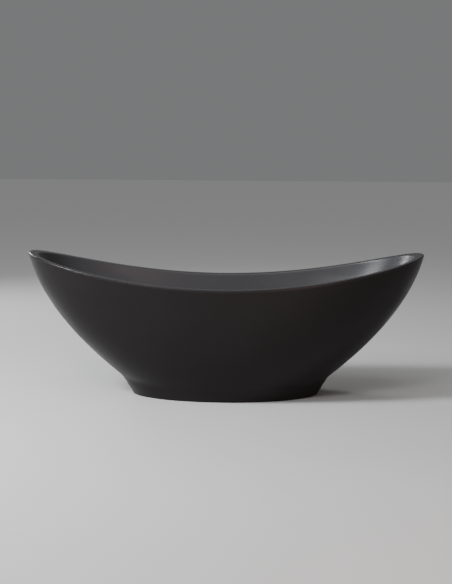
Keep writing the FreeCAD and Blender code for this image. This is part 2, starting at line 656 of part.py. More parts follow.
def overflow():
    """Cover, bush, seals, elbow and screw about the overflow's axis, which looks into the bowl."""
    point, turn = overflow_frame()
    back = "-bowl_side_skin - over_seal"
    pieces = [
        turned("overflow_cover", [
            ("0", "cover_deep"), ("cover_r - 2", "cover_deep"), ("cover_r", "cover_deep - 2"),
            ("cover_r", "3.5"), ("cover_r - cover_wall", "3.5"), ("cover_r - cover_wall", "cover_deep - 3"),
            ("cover_r - 4", "cover_deep - cover_wall"), ("0", "cover_deep - cover_wall")]),
        turned("overflow_bush", [
            ("over_hole_r - 4", "1.6"), ("over_hole_r + 4", "1.6"), ("over_hole_r + 4", "3.2"),
            ("over_hole_r - 6", "3.2"), ("over_hole_r - 6", back), ("over_hole_r - 4", back)]),
        ring("overflow_inner_seal", "over_hole_r - 3.5", "over_hole_r + 4", "0.5", "1.6"),
        ring("overflow_outer_seal", "over_hole_r - 3.5", "over_flange_r", back, "-bowl_side_skin - 0.4"),
    ]
    for body in pieces:
        placed(body, point, turn)
    overflow_elbow(point, turn)


def seated(name, radius, height, start, point, turn):
    """A cylinder on the overflow's axis, from start along it."""
    cylinder = doc.addObject("Part::Cylinder", name)
    cylinder.setExpression("Radius", bound(radius))
    cylinder.setExpression("Height", bound(height))
    cylinder.Placement = Placement(point + turn.multVec(Vector(0, 0, worth(start))), turn)
    return cylinder


def spigot(point, turn):
    """The centre of the elbow's chamber, and the way its spigot points down along the wall."""
    deep = worth("-bowl_side_skin - over_seal - elbow_deep / 2")
    return point + turn.multVec(Vector(0, 0, deep)), turn.multVec(Vector(0, 1, 0))


def overflow_elbow(point, turn):
    """The elbow behind the wall: flange, closed chamber and a spigot down along the wall."""
    front = "-bowl_side_skin - over_seal"
    outside = pair("Part::Fuse", "elbow_outside",
                   seated("elbow_flange", "over_flange_r", "3", f"{front} - 3.2", point, turn),
                   seated("elbow_chamber", "elbow_r", "elbow_deep", f"{front} - 0.2 - elbow_deep", point, turn))
    centre, way = spigot(point, turn)
    drops = []
    for name, radius in (("elbow_spigot", "spigot_r"), ("elbow_bore", "spigot_bore")):
        drop = doc.addObject("Part::Cylinder", name)
        drop.setExpression("Radius", bound(radius))
        drop.setExpression("Height", bound("spigot_drop"))
        drop.Placement = Placement(centre, Rotation(Vector(0, 0, 1), way))
        drops.append(drop)
    void = seated("elbow_void", "elbow_r - elbow_wall", "elbow_deep", f"{front} - 0.2 - elbow_deep + elbow_wall",
                  point, turn)
    full = pair("Part::Fuse", "elbow_full", outside, drops[0])
    hollow = pair("Part::Fuse", "elbow_hollow", void, drops[1])
    kept(pair("Part::Cut", "elbow", full, hollow), "overflow_elbow")


# ---------------------------------------------------------------- overflow hose

def hose_route():
    """The hose's corners: down between the skins, under the front rail and into the side port."""
    top, way = spigot(*overflow_frame())
    start = top + way * (size("spigot_drop") - size("hose_lap"))
    end = Vector(0, -size("port_end") + size("hose_lap"), size("port_z"))
    return [start, start + way * 45, Vector(0, -351, 290), Vector(0, -322, 200), Vector(0, -278, 119),
            Vector(0, -214, size("port_z") + 9), Vector(0, -130, size("port_z") + 0.5), end]


def rounded_wire(points):
    """Straight runs joined by tangent arcs, each as large as its two runs allow."""
    edges, here = [], points[0]
    for before, corner, after in zip(points, points[1:], points[2:]):
        arrive, leave = (corner - before), (after - corner)
        half = arrive.getAngle(leave) / 2
        if half < 1e-4:
            continue
        cut = 0.45 * min(arrive.Length, leave.Length)
        start, stop = corner - arrive.normalize() * cut, corner + leave.normalize() * cut
        radius = cut / math.tan(half)
        inward = (stop - corner).normalize() + (start - corner).normalize()
        centre = corner + inward.normalize() * (radius / math.cos(half))
        middle = centre + (corner - centre).normalize() * radius
        edges += [Part.LineSegment(here, start).toShape(), Part.Arc(start, middle, stop).toShape()]
        print(f"hose bend radius {radius:.0f} mm")
        here = stop
    edges.append(Part.LineSegment(here, points[-1]).toShape())
    return Part.Wire(edges)


def overflow_hose():
    """The ribbed drain hose as a plain tube along its route, with a union nut at each end."""
    route = hose_route()
    wire = rounded_wire(route)
    along = (route[1] - route[0]).normalize()
    section = [Part.Wire([Part.Circle(route[0], along, size(r)).toShape()]) for r in ("hose_r", "hose_bore")]
    tubes = [wire.makePipeShell([loop], True, True) for loop in section]
    hose = kept(doc.addObject("Part::Feature", "hose"), "overflow_hose")
    hose.Shape = tubes[0].cut(tubes[1])
    expected = math.pi * (size("hose_r") ** 2 - size("hose_bore") ** 2) * wire.Length
    print(f"hose length {wire.Length:.0f} mm, volume over section times length {hose.Shape.Volume / expected:.4f}")
    upper = Rotation(Vector(0, 0, 1), along)
    for label, point, turn in (("hose_nut_upper", route[0], upper), ("hose_nut_lower", route[-1], ALONG_MINUS_Y)):
        nut = turned(label, [
            ("clip_bore", "1"), ("nut_r - 1", "1"), ("nut_r", "2"), ("nut_r", "hose_nut_long - 1"),
            ("nut_r - 1", "hose_nut_long"), ("clip_bore", "hose_nut_long")])
        placed(nut, point, turn)


# ---------------------------------------------------------------- build, check and write

def build():
    """Makes every sub-part."""
    outer_shell()
    inner_shell()
    base_board()
    frame()
    screws()
    for name, (x, y) in LEGS.items():
        leg(name, x, y)
    plinth_ring()
    skirt_brackets()
    waste()
    overflow()
    overflow_hose()
    doc.recompute()


def faults():
    """Objects that failed, and sub-parts with no valid solid."""
    found = [f"{o.Label}: {o.State}" for o in doc.Objects
             if "Invalid" in o.State or "Error" in o.State]
    for thing in SUBPARTS:
        shape = thing.Shape
        if shape.isNull() or not shape.isValid() or not shape.Solids:
            found.append(f"{thing.Label}: no valid solid")
    return found


build()
problems = faults()
if problems:
    raise SystemExit("not written: " + "; ".join(problems))
os.makedirs("parts", exist_ok=True)
for thing in SUBPARTS:
    thing.Shape.exportStep(os.path.join("parts", thing.Label + ".step"))
print(f"{len(SUBPARTS)} sub-parts written")
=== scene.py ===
"""Visual model of a freestanding double-ended bathtub with swept-up ends on a flared plinth.

The two moulded skins, the ribbed overflow hose, the threaded levelling studs and the chromed
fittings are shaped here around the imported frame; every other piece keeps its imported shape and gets
its finish here. All lengths are metres, X along the tub, Y across it and Z up from the floor.
"""
import json
import logging
import math
from dataclasses import dataclass, field
from enum import Enum
from functools import cache, partial, partialmethod
from typing import Callable, Optional, Sequence

import bpy
import numpy as np
from mathutils import Matrix, Vector


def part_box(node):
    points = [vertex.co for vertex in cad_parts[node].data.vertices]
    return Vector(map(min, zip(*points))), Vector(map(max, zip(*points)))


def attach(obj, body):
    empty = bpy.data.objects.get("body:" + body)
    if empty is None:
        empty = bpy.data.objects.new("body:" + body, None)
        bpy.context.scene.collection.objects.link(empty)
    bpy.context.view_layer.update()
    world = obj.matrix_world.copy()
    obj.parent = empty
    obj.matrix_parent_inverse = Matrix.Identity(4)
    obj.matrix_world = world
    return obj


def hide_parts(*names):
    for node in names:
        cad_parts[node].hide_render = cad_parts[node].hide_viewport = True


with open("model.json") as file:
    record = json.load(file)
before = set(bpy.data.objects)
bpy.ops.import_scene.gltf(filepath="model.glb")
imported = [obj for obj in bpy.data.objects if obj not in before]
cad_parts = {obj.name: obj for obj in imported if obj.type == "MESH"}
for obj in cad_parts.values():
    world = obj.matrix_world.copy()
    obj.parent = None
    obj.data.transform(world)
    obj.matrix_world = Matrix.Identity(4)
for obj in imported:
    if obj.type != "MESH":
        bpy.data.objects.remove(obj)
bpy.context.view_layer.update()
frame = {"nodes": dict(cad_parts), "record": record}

MERGE = 2e-5
LEGS = 5
log = logging.getLogger("bathtub")

Array = np.ndarray
Colour = tuple[float, float, float]
Material = bpy.types.Material
Object = bpy.types.Object


# ---- shader building

class Val:
    """A number socket that can be written in plain arithmetic."""

    def __init__(self, recipe: "Recipe", socket: bpy.types.NodeSocket) -> None:
        """Wraps an output socket of a material's node tree."""
        self.recipe = recipe
        self.socket = socket

    def maths(self, operation: str, other: object, swapped: bool = False) -> "Val":
        """Adds one Math node on this and another operand."""
        pair = (other, self) if swapped else (self, other)
        return self.recipe.node("Math", {"operation": operation}, dict(enumerate(pair)))

    __add__ = __radd__ = partialmethod(maths, "ADD")
    __sub__ = partialmethod(maths, "SUBTRACT")
    __rsub__ = partialmethod(maths, "SUBTRACT", swapped=True)
    __mul__ = partialmethod(maths, "MULTIPLY")


class Recipe:
    """One material and its node tree."""

    def __init__(self, name: str) -> None:
        """Starts a material with a Principled shader of its own.

        Args:
            name: the material's name.
        """
        self.material = bpy.data.materials.new(name)
        self.material.use_nodes = True
        self.tree = self.material.node_tree
        self.shader = next(n for n in self.tree.nodes if n.type == "BSDF_PRINCIPLED")
        self.place = self.node("TexCoord", {}, {}, "Object")

    def node(self, kind: str, settings: dict, sockets: dict, output: object = 0) -> Val:
        """Adds a node.

        Args:
            kind: the node's type, without ShaderNode before it.
            settings: properties set before anything is linked; "stops" fills a colour ramp.
            sockets: input name or number to a value or a Val.
            output: name or number of the output that is returned.

        Returns:
            The wrapped output socket.
        """
        made = self.tree.nodes.new("ShaderNode" + kind)
        for key, value in settings.items():
            if key == "stops":
                self._fill_ramp(made.color_ramp, value)
            else:
                setattr(made, key, value)
        for key, value in sockets.items():
            self.feed(made.inputs[key], value)
        return Val(self, made.outputs[output])

    @staticmethod
    def _fill_ramp(ramp: bpy.types.ColorRamp, stops: Sequence[tuple]) -> None:
        """Sets a ramp's stops from (position, colour) pairs.

        Args:
            ramp: the node's ramp.
            stops: positions from 0 to 1, each with its colour.
        """
        while len(ramp.elements) < len(stops):
            ramp.elements.new(1.0)
        for element, (position, colour) in zip(ramp.elements, stops):
            element.position = position
            element.color = (*colour, 1.0)

    def feed(self, socket: bpy.types.NodeSocket, value: object) -> None:
        """Links a Val to a socket, or sets the socket's own value.

        Args:
            socket: the input.
            value: a Val to link, or a plain value.
        """
        if isinstance(value, Val):
            self.tree.links.new(value.socket, socket)
        else:
            socket.default_value = value

    def noise(self, scale: float, detail: float = 3.0, stretch: Sequence[float] = (1, 1, 1)) -> Val:
        """Fractal noise in object space, stretched along the axes."""
        mapped = self.node("Mapping", {}, {"Vector": self.place, "Scale": stretch})
        return self.node("TexNoise", {}, {"Vector": mapped, "Scale": scale, "Detail": detail})

    def ramp(self, factor: Val, stops: Sequence[tuple]) -> Val:
        """A colour ramp over a factor."""
        return self.node("ValToRGB", {"stops": stops}, {"Fac": factor})

    def span(self, factor: Val, low: float, high: float) -> Val:
        """Maps noise from its usual spread about a half to a range."""
        return self.node("MapRange", {"clamp": True},
                         {"Value": factor, "From Min": 0.3, "From Max": 0.7, "To Min": low, "To Max": high})

    def height(self, relief: Val, strength: float, depth: float, under: Optional[Val] = None) -> Val:
        """A Bump node, over another one if there is one.

        Args:
            relief: the height.
            strength: share of the effect.
            depth: height of a full step, in metres.
            under: a bump that this one is laid over.

        Returns:
            The bent normal.
        """
        sockets = {"Height": relief, "Strength": strength, "Distance": depth}
        if under is not None:
            sockets["Normal"] = under
        return self.node("Bump", {}, sockets)

    def dress(self, **sockets: object) -> Material:
        """Feeds the Principled shader's sockets, with underscores for spaces, and returns the material.

        Args:
            **sockets: values by socket name.

        Returns:
            The finished material.
        """
        for key, value in sockets.items():
            self.feed(self.shader.inputs[key.replace("_", " ")], value)
        return self.material


# ---- finishes

def shade(colour: Colour, share: float) -> Colour:
    """A colour made lighter or darker by a share."""
    return tuple(min(1.0, c * share) for c in colour)


@dataclass(frozen=True)
class MouldedSkin:
    """Matt through-coloured acrylic: faint clouding, a fine mould texture and dulled spots.

    A skin with an outside colour takes it on the lip, and most of the way on the rim's top; its own lighter
    colour inside the bowl is painted light, standing for light falling into the bowl, while the outside
    colour is the tub's real dark charcoal.
    """

    name: str
    colour: Colour
    rough: float
    shine: float
    outside: Optional[Colour] = None
    cloud: float = 0.10
    top_share: float = 0.7
    rim_low: float = 0.45
    rim_high: float = 0.50

    def stops(self, colour: Colour) -> tuple:
        """Ramp stops of a clouded colour."""
        return ((0.34, shade(colour, 1 - self.cloud)), (0.52, colour), (0.68, shade(colour, 1 + self.cloud)))

    def outside_share_over_painted_light(self, r: Recipe) -> Val:
        """How far a face looks away from the bowl: 1 on the lip, part way on the rim's top, 0 inside; it
        splits the painted-light inside colour from the real outside colour.

        Args:
            r: the material in hand.

        Returns:
            The share of the outside colour.
        """
        normal = r.node("NewGeometry", {}, {}, "Normal")
        level = r.node("Mapping", {}, {"Vector": r.place, "Scale": (1, 1, 0)})
        away = r.node("VectorMath", {"operation": "DOT_PRODUCT"}, {0: normal, 1: level}, "Value")
        up = r.node("SeparateXYZ", {}, {"Vector": normal}, "Z")
        height = r.node("SeparateXYZ", {}, {"Vector": r.place}, "Z")
        lip = r.node("MapRange", {}, {"Value": away, "From Min": 0.03, "From Max": 0.16})
        top = r.node("MapRange", {}, {
            "Value": up, "From Min": 0.6, "From Max": 0.9, "To Max": self.top_share})
        high = r.node("MapRange", {}, {
            "Value": height, "From Min": self.rim_low, "From Max": self.rim_high})
        return r.node("Math", {"operation": "MAXIMUM"}, {0: lip, 1: top * high})

    def make(self) -> Material:
        """Builds the material.

        Returns:
            The material.
        """
        r = Recipe(self.name)
        clouds = r.noise(2.2, 4.0, (1, 1, 1.4))
        fine = r.noise(60.0, 4.0)
        grain = r.noise(900.0, 2.0)
        tone = clouds * 0.7 + fine * 0.3
        body = r.ramp(tone, self.stops(self.colour))
        # Painted light: inside the bowl the skin shows its lighter colour for light falling there, and the
        # real dark outside colour on the lip and most of the rim's top.
        if self.outside is not None:
            body = r.node("MixRGB", {}, {"Fac": self.outside_share_over_painted_light(r), "Color1": body,
                                                   "Color2": r.ramp(tone, self.stops(self.outside))})
        rough = r.span(r.noise(7.0, 5.0), self.rough - 0.045, self.rough + 0.06) + (grain - 0.5) * 0.05
        relief = r.height(grain, 0.10, 0.0002, r.height(fine, 0.06, 0.0009))
        return r.dress(Base_Color=body, Roughness=rough, Normal=relief, Specular_IOR_Level=self.shine)


@dataclass(frozen=True)
class Plating:
    """Polished plating with wipe marks and water spots."""

    name: str
    colour: Colour
    rough: float = 0.07

    def make(self) -> Material:
        """Builds the material.

        Returns:
            The material.
        """
        r = Recipe(self.name)
        wipe = r.noise(38.0, 4.0, (1, 6, 1))
        spots = r.noise(240.0, 2.0)
        rough = r.span(wipe, self.rough * 0.6, self.rough * 1.9) + r.span(spots, 0.0, 0.05)
        body = r.ramp(spots, ((0.35, shade(self.colour, 0.94)), (0.6, self.colour)))
        return r.dress(Base_Color=body, Metallic=1.0, Roughness=rough,
                       Normal=r.height(wipe, 0.03, 0.0002))


@dataclass(frozen=True)
class Zinc:
    """Zinc on steel: spangled where it was dipped, cloudy where it was plated."""

    name: str
    colour: Colour
    spangle: float = 90.0
    rough: float = 0.38

    def make(self) -> Material:
        """Builds the material.

        Returns:
            The material.
        """
        r = Recipe(self.name)
        crystals = r.node("TexVoronoi", {}, {"Vector": r.place, "Scale": self.spangle}, "Color")
        facet = r.node("SeparateColor", {}, {"Color": crystals}, "Red")
        rust = r.noise(30.0, 6.0)
        tone = facet * 0.5 + rust * 0.5
        body = r.ramp(tone, ((0.25, shade(self.colour, 0.72)), (0.55, self.colour),
                             (0.8, shade(self.colour, 1.2))))
        rough = self.rough + (facet - 0.5) * 0.22 + (rust - 0.5) * 0.2
        return r.dress(Base_Color=body, Metallic=0.92, Roughness=rough, Normal=r.height(rust, 0.15, 0.0003))


@dataclass(frozen=True)
class Plywood:
    """Sealed birch plywood: long grain on the faces and stacked plies on the edges."""

    name: str
    colour: Colour
    ply: float = 0.0025

    def make(self) -> Material:
        """Builds the material.

        Returns:
            The material.
        """
        r = Recipe(self.name)
        grain = r.noise(26.0, 7.0, (0.7, 9, 9))
        pores = r.noise(160.0, 3.0, (0.5, 12, 12))
        up = r.node("SeparateXYZ", {}, {"Vector": r.place}, "Z")
        plies = r.node("Math", {"operation": "SINE"}, {0: up * (math.pi / self.ply)}) * 0.5 + 0.5
        facing = r.node("SeparateXYZ", {}, {
            "Vector": r.node("NewGeometry", {}, {}, "Normal")}, "Z")
        flat = r.node("Math", {"operation": "ABSOLUTE"}, {0: facing})
        tone = (grain * 0.75 + pores * 0.25) * flat + (plies * 0.55 + grain * 0.35) * (1 - flat)
        body = r.ramp(tone, ((0.28, shade(self.colour, 0.5)), (0.5, self.colour),
                             (0.72, shade(self.colour, 1.35))))
        return r.dress(Base_Color=body, Roughness=r.span(grain, 0.5, 0.72),
                       Normal=r.height(tone, 0.3, 0.0006), Specular_IOR_Level=0.35)


@dataclass(frozen=True)
class Moulding:
    """Moulded plastic or rubber: spark-eroded texture, a bloom of dust and scuffed high spots."""

    name: str
    colour: Colour
    rough: float = 0.5
    texture: float = 420.0
    bloom: float = 0.12

    def make(self) -> Material:
        """Builds the material.

        Returns:
            The material.
        """
        r = Recipe(self.name)
        pits = r.noise(self.texture, 3.0)
        dust = r.noise(18.0, 6.0)
        body = r.ramp(dust, ((0.35, shade(self.colour, 1 - self.bloom)), (0.5, self.colour),
                             (0.72, tuple(c + self.bloom * 0.12 for c in self.colour))))
        return r.dress(Base_Color=body, Roughness=r.span(dust, self.rough - 0.08, self.rough + 0.1),
                       Normal=r.height(pits, 0.2, 0.0003))


@dataclass(frozen=True)
class Stage:
    """The plain pale floor's finish."""

    name: str
    colour: Colour

    def make(self) -> Material:
        """Builds the material.

        Returns:
            The material.
        """
        r = Recipe(self.name)
        body = r.ramp(r.noise(3.0, 3.0), ((0.3, shade(self.colour, 0.985)), (0.7, self.colour)))
        return r.dress(Base_Color=body, Roughness=0.75, Specular_IOR_Level=0.25)


OUTER_CHARCOAL: Colour = (0.0140, 0.0125, 0.0128)
# Painted light: the bowl's lighter charcoal stands for light falling into the bowl; OUTER_CHARCOAL is the
# tub's own colour, inside and out.
BOWL_CHARCOAL_PAINTED_LIT: Colour = (0.047, 0.047, 0.050)


class Finish(Enum):
    """The record's material slots, each with its finish."""

    OUTER_SKIN = ("outer_skin", MouldedSkin("charcoal outer skin", OUTER_CHARCOAL, 0.36, 0.12))
    BOWL_SKIN = ("bowl_skin", MouldedSkin("charcoal bowl skin with painted light", BOWL_CHARCOAL_PAINTED_LIT, 0.32, 0.24, OUTER_CHARCOAL))
    PLYWOOD = ("plywood", Plywood("birch plywood", (0.44, 0.30, 0.17)))
    GALVANISED = ("galvanised_steel", Zinc("galvanised steel", (0.56, 0.57, 0.58)))
    SCREWS = ("zinc_screws", Zinc("plated screws", (0.68, 0.65, 0.56), 400.0, 0.3))
    NUTS = ("zinc_nuts", Zinc("plated nuts", (0.62, 0.61, 0.57), 300.0, 0.34))
    THREAD = ("threaded_steel", Zinc("threaded steel", (0.60, 0.60, 0.59), 350.0, 0.32))
    PADS = ("pad_plastic", Moulding("black polyamide", (0.022, 0.022, 0.023), 0.55))
    CHROME = ("chrome_trim", Plating("polished chrome", (0.80, 0.80, 0.81)))
    RUBBER = ("seal_rubber", Moulding("black rubber", (0.028, 0.028, 0.029), 0.72, 600.0, 0.25))
    BRASS = ("cartridge_brass", Plating("turned brass", (0.70, 0.54, 0.27), 0.22))
    WASTE = ("waste_plastic", Moulding("white polypropylene", (0.72, 0.72, 0.70), 0.42))
    HOSE = ("hose_plastic", Moulding("grey polypropylene", (0.55, 0.56, 0.555), 0.4))
    HOSE_NUTS = ("nut_plastic", Moulding("black hose nuts", (0.05, 0.05, 0.055), 0.45))

    def __init__(self, slot: str, recipe: object) -> None:
        """Keeps the slot's name beside its recipe."""
        self.slot = slot
        self.recipe = recipe


@cache
def material_of(finish: Finish) -> Material:
    """The material of a finish, made at its first use."""
    return finish.recipe.make()


# ---- modelling by hand

def enter(mode: str) -> None:
    """Changes the mode of the active object."""
    bpy.ops.object.mode_set(mode=mode)


def clear_selection() -> None:
    """Leaves object mode with nothing selected."""
    if bpy.context.object is not None and bpy.context.object.mode != "OBJECT":
        enter("OBJECT")
    bpy.ops.object.select_all(action="DESELECT")


def take(obj: Object) -> None:
    """Makes one object the only selected and active one.

    Args:
        obj: the object.
    """
    clear_selection()
    obj.select_set(True)
    bpy.context.view_layer.objects.active = obj


def started(name: str) -> Object:
    """Names the object that was just made.

    Args:
        name: its name.

    Returns:
        The object.
    """
    obj = bpy.context.object
    obj.name = obj.data.name = name
    return obj


def apply_modifier(obj: Object, kind: str, **settings: object) -> None:
    """Adds a modifier, sets it and applies it.

    Args:
        obj: the object.
        kind: the modifier's type.
        **settings: its properties.
    """
    take(obj)
    modifier = obj.modifiers.new(kind.lower(), kind)
    for key, value in settings.items():
        setattr(modifier, key, value)
    bpy.ops.object.modifier_apply(modifier=modifier.name)


def closed_up(obj: Object) -> None:
    """Merges doubled points and turns every face outwards.

    Args:
        obj: the object.
    """
    take(obj)
    enter("EDIT")
    bpy.ops.mesh.select_all(action="SELECT")
    bpy.ops.mesh.remove_doubles(threshold=MERGE)
    bpy.ops.mesh.normals_make_consistent(inside=False)
    enter("OBJECT")


def smoothed(obj: Object, degrees: float) -> None:
    """Shades smooth, but for edges sharper than an angle."""
    take(obj)
    bpy.ops.object.shade_smooth_by_angle(angle=math.radians(degrees))


def put_at(obj: Object, point: Sequence[float], tilt: float = 0.0) -> None:
    """Turns a piece's mesh about X, then moves it to a point; the object itself stays at the origin."""
    obj.data.transform(Matrix.Translation(Vector(point)) @ Matrix.Rotation(tilt, 4, "X"))
    obj.data.update()


def turned(name: str, profile: Sequence[tuple[float, float]], steps: int = 64) -> Object:
    """A closed turned piece about Z.

    Args:
        name: the piece's name.
        profile: (radius, height) points in order; the first and last are joined, or closed at the axis.
        steps: how many sides it has.

    Returns:
        The piece, made by extruding and resizing a ring of points.
    """
    clear_selection()
    tiny = 1e-6
    first = max(profile[0][0], tiny)
    bpy.ops.mesh.primitive_circle_add(vertices=steps, radius=first, location=(0, 0, profile[0][1]))
    obj = started(name)
    bpy.ops.object.transform_apply(location=True, rotation=False, scale=False)
    enter("EDIT")
    bpy.ops.mesh.select_all(action="SELECT")
    closing = [] if profile[0][0] == 0 else [profile[0]]
    here = (first, profile[0][1])
    for radius, height in [*profile[1:], *closing]:
        reach = max(radius, tiny)
        bpy.ops.mesh.extrude_edges_move(TRANSFORM_OT_translate={"value": (0, 0, height - here[1])})
        share = reach / here[0]
        bpy.ops.transform.resize(value=(share, share, 1), center_override=(0, 0, height))
        here = (reach, height)
    enter("OBJECT")
    closed_up(obj)
    return obj


def joined(name: str, parts: Sequence[Object]) -> Object:
    """Joins several objects into one piece.

    Args:
        name: the piece's name.
        parts: the objects, which are used up.

    Returns:
        The one piece.
    """
    clear_selection()
    for part in parts:
        part.select_set(True)
    bpy.context.view_layer.objects.active = parts[0]
    bpy.ops.object.join()
    return started(name)


def formed(name: str, radii: Array, heights: Array, angles: Array) -> Object:
    """A closed skin formed from a grid, one row of points round the tub after another.

    Args:
        name: the piece's name.
        radii: distance from the Z axis, by row and column.
        heights: height, by row and column.
        angles: the direction of each column.

    Returns:
        The skin, its last row joined to its first.
    """
    rows, columns = radii.shape
    clear_selection()
    bpy.ops.mesh.primitive_grid_add(x_subdivisions=columns, y_subdivisions=rows, size=1.0)
    obj = started(name)
    count = len(obj.data.vertices)
    flat = np.empty(count * 3)
    obj.data.vertices.foreach_get("co", flat)
    flat = flat.reshape(count, 3)
    column = np.rint((flat[:, 0] + 0.5) * columns).astype(int) % columns
    row = np.rint((flat[:, 1] + 0.5) * rows).astype(int) % rows
    reach, turn = radii[row, column], angles[column]
    spots = np.column_stack((reach * np.cos(turn), reach * np.sin(turn), heights[row, column]))
    obj.data.vertices.foreach_set("co", spots.ravel())
    obj.data.update()
    closed_up(obj)
    return obj


@dataclass
class Registry:
    """Seats finished pieces on their bodies and reports them."""

    replaced: set[str] = field(default_factory=set)

    def seat(self, obj: Object, body: str, finish: Finish, *nodes: str) -> None:
        """Dresses a piece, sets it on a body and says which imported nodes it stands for.

        Args:
            obj: the piece.
            body: the body it rides on.
            finish: its finish.
            *nodes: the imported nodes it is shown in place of.
        """
        obj.data.materials.clear()
        obj.data.materials.append(material_of(finish))
        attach(obj, body)
        if nodes:
            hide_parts(*nodes)
            self.replaced.update(nodes)
        log.info("%s: %d faces, on %s, as %s", obj.name, len(obj.data.polygons), body, finish.slot)


# ---- the hull's form

SPREAD = (0.9, 0.4)


@dataclass
class HullForm:
    """The tub's sections: ovals whose size and fullness change with height."""

    half_long: float = 0.902
    half_wide: float = 0.404
    end_height: float = 0.650
    mid_height: float = 0.5145
    join_height: float = 0.088
    keel_height: float = 0.045
    bow: tuple[float, float] = (0.139, 0.283)
    side_drop: float = 0.1225
    side_power: float = 3.3
    full_top: float = 0.68
    full_foot: float = 0.56
    foot: tuple[float, float] = (0.423, 0.266)
    flare: tuple[float, float] = (0.625, 0.35)
    foot_full: float = 0.5523
    foot_top: float = 0.14
    foot_fades: float = 0.10
    fade_slope: float = 1.2
    crease_soft: tuple[float, float] = (0.003, 0.007)
    columns: int = 208
    halvings: int = 34
    passes: int = 40

    def angles(self) -> Array:
        """Column directions, spaced evenly round the rim's oval.

        Returns:
            Angles from +X, once round, symmetric about both axes.
        """
        quarter = self.columns // 4
        t = np.arange(quarter) / quarter
        fx, fy = self.quarter(t, self.full_top)
        first = np.arctan2(SPREAD[1] * fy, SPREAD[0] * fx)
        mirror = np.pi - np.append(first[1:], np.pi / 2)[::-1]
        half = np.concatenate((first, mirror))
        return np.concatenate((half, half + np.pi))

    @staticmethod
    def quarter(t: Array, full: Array) -> tuple[Array, Array]:
        """A unit quarter oval at a parameter, as its two coordinates."""
        u = 1 - t
        return u**3 + 3 * u * u * t + 3 * full * u * t * t, 3 * full * u * u * t + 3 * u * t * t + t**3

    def rise(self, x: Array) -> Array:
        """The rim's height at a distance along the tub."""
        return self.mid_height + (self.end_height - self.mid_height) * (x / self.half_long) ** 2

    def long(self, z: Array) -> Array:
        """Half length at a height."""
        w = (self.end_height - z) / (self.end_height - self.join_height)
        return self.half_long - self.bow[0] * w - self.bow[1] * w * w

    def wide(self, z: Array) -> Array:
        """Half width at a height."""
        w = np.maximum(0, (self.end_height - z) / (self.end_height - self.keel_height))
        return self.half_wide - self.side_drop * w**self.side_power

    def full(self, z: Array) -> Array:
        """Fullness at a height."""
        share = np.clip((z - self.keel_height) / (self.mid_height - self.keel_height), 0, 1)
        return self.full_foot + (self.full_top - self.full_foot) * share

    def reach(self, angle: Array, a: Array, b: Array, full: Array) -> Array:
        """Distance from the axis to an oval in a direction, by halving the quarter's parameter.

        Args:
            angle: directions.
            a: half length of each oval.
            b: half width of each.
            full: fullness of each.

        Returns:
            The distances.
        """
        c, s = np.abs(np.cos(angle)), np.abs(np.sin(angle))
        low, high = np.zeros_like(a * c), np.ones_like(a * c)
        for _ in range(self.halvings):
            t = (low + high) / 2
            fx, fy = self.quarter(t, full)
            past = b * fy * c > a * fx * s
            high, low = np.where(past, t, high), np.where(past, low, t)
        fx, fy = self.quarter((low + high) / 2, full)
        return np.hypot(a * fx, b * fy)

    def hull(self, angle: Array, z: Array, inset: float = 0.0) -> Array:
        """The hull alone, in from its face by an inset."""
        return self.reach(angle, self.long(z) - inset, self.wide(z) - inset, self.full(z))

    def outside(self, angle: Array, z: Array, inset: float = 0.0) -> Array:
        """Hull and foot together, with the soft crease where they meet.

        Args:
            angle: directions.
            z: heights.
            inset: how far in from the face.

        Returns:
            Distances from the axis.
        """
        hull = self.hull(angle, z, inset)
        low = np.minimum(z, self.foot_top)
        foot = self.reach(angle, self.foot[0] + self.flare[0] * low - inset,
                          self.foot[1] + self.flare[1] * low - inset, np.full_like(z, self.foot_full))
        foot = foot - np.maximum(0, z - self.foot_fades) * self.fade_slope
        side, end = self.crease_soft
        soft = side + end * np.cos(angle) ** 2
        blend = np.maximum(soft - np.abs(hull - foot), 0) / soft
        return np.maximum(hull, foot) + blend * blend * soft / 4

    def rim_point(self, angle: Array, drop: float, radius: Callable) -> tuple[Array, Array]:
        """Where a surface meets the rim's sweep lowered by a drop, as distance and height.

        Args:
            angle: directions.
            drop: how far below the rim's sweep.
            radius: the surface, as distance by direction and height.

        Returns:
            Distances and heights.
        """
        z = np.full_like(angle, self.mid_height - drop)
        for _ in range(self.passes):
            r = radius(angle, z)
            z = self.rise(r * np.cos(angle)) - drop
        return radius(angle, z), z


# ---- skins

@dataclass
class OuterSkin:
    """The outer skin: hull and plinth in one, up to the seam under the rim."""

    form: HullForm
    wall: float = 0.008
    seam: float = 0.0123
    foot_round: float = 0.0022
    edge_shares: tuple = (0.0, 0.0009, 0.0024, 0.0048)
    foot_span: tuple[float, float] = (0.012, 0.26)
    foot_rows: int = 28
    hull_span: tuple[float, float] = (0.27, 1.0)
    hull_rows: int = 64
    inside_step: int = 3

    def build(self) -> Object:
        """Forms the skin as one closed wall, foot to seam outside and seam to foot inside.

        Returns:
            The skin.
        """
        angle = self.form.angles()
        _, top = self.form.rim_point(angle, self.seam, self.form.hull)
        shares = np.concatenate((self.edge_shares, np.linspace(*self.foot_span, self.foot_rows),
                                 np.linspace(*self.hull_span, self.hull_rows)))
        z = shares[:, None] * top[None, :]
        turn = np.broadcast_to(angle, z.shape)
        out = self.form.outside(turn, z)
        ease = np.clip(1 - z / self.foot_round, 0, 1)
        out = out - self.foot_round * (1 - np.sqrt(1 - ease**2))
        inner = out[::-1][::self.inside_step].copy() - self.wall
        inner_z = z[::-1][::self.inside_step].copy()
        inner_z[-1] = z[0]
        radii, heights = np.vstack((out, inner)), np.vstack((z, inner_z))
        skin = formed("hull_and_plinth", radii, heights, angle)
        smoothed(skin, 50)
        return skin


